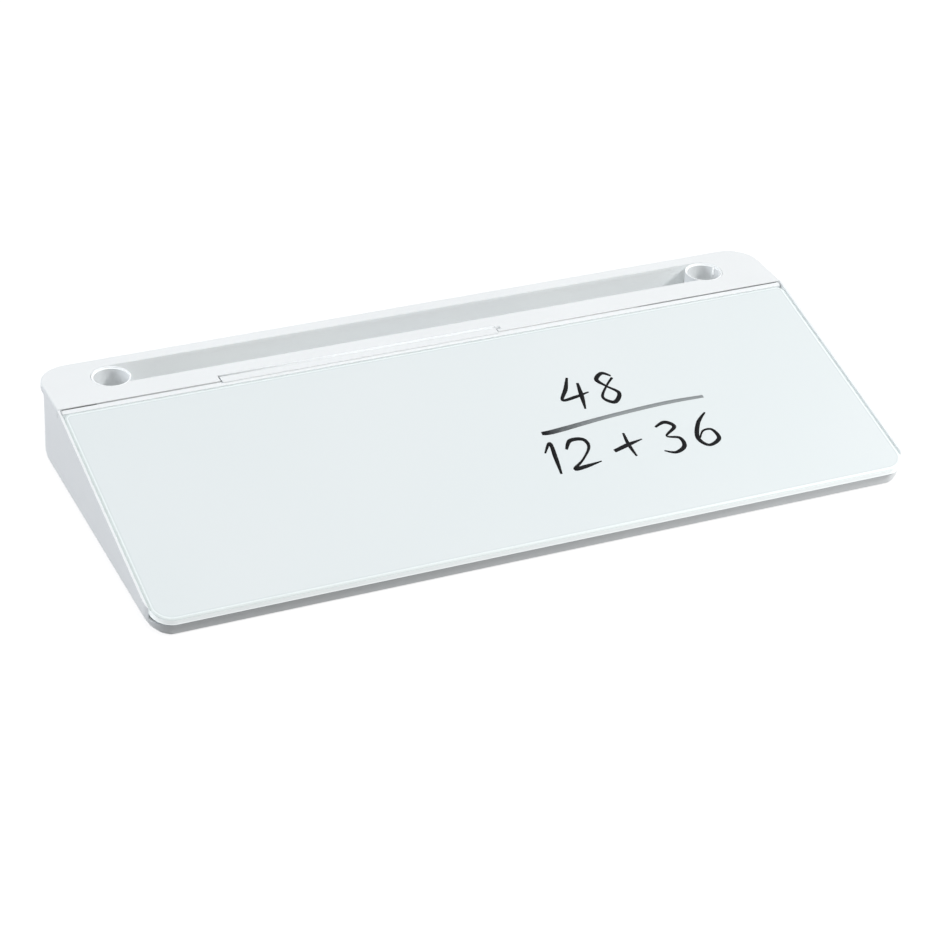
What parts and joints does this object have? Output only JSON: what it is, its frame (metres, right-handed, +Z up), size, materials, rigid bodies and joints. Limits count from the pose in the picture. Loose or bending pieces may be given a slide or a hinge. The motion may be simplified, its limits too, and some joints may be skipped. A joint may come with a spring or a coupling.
{
  "type": "desktop glass whiteboard",
  "caption": "Low wedge-shaped desk organiser with a glass writing lid that hinges up over a storage tray, and a rear shelf with a long pen slot between two round cups.",
  "frame": {"origin": "middle of the base, on the desk surface under the feet", "axes": "+X to the right along the long side as the user sees it, +Y to the back, from the low lip to the pen shelf, +Z up"},
  "size_m": [0.45, 0.2046, 0.05],
  "materials": {
    "white_shell": "satin moulded white plastic",
    "inner_plastic": "plain moulded white plastic, not seen from outside",
    "backed_glass": "clear toughened glass with a white coating on its back and polished bevelled edges",
    "white_tape": "white double-sided foam tape",
    "grey_foam": "soft closed-cell foam",
    "rubber_foot": "pale soft rubber",
    "steel": "plated steel"
  },
  "bodies": {
    "base": {"body_shell": "white_shell", "bottom_cover": "inner_plastic", "slot_trough": "inner_plastic", "slot_pad": "grey_foam", "pen_cup_left": "white_shell", "pen_cup_right": "white_shell", "cup_pad_left": "grey_foam", "cup_pad_right": "grey_foam", "hinge_rod": "steel", "hinge_rail": "inner_plastic", "hinge_rail_screw_left": "steel", "hinge_rail_screw_middle": "steel", "hinge_rail_screw_right": "steel", "trough_screw_left": "steel", "trough_screw_right": "steel", "cover_screw_1": "steel", "cover_screw_2": "steel", "cover_screw_3": "steel", "cover_screw_4": "steel", "cover_screw_5": "steel", "cover_screw_6": "steel", "foot_front_left": "rubber_foot", "foot_front_right": "rubber_foot", "foot_rear_left": "rubber_foot", "foot_rear_right": "rubber_foot", "lid_bumper_left": "rubber_foot", "lid_bumper_right": "rubber_foot"},
    "lid": {"lid_frame": "white_shell", "glass_panel": "backed_glass", "tape_front": "white_tape", "tape_back": "white_tape", "tape_left": "white_tape", "tape_right": "white_tape"}
  },
  "joints": [
    {"name": "lid_hinge", "type": "hinge", "parent": "base", "child": "lid", "pos_m": [0, 0.0599, 0.048], "axis": [-1, 0, 0], "range_deg": [0, 90]}
  ]
}
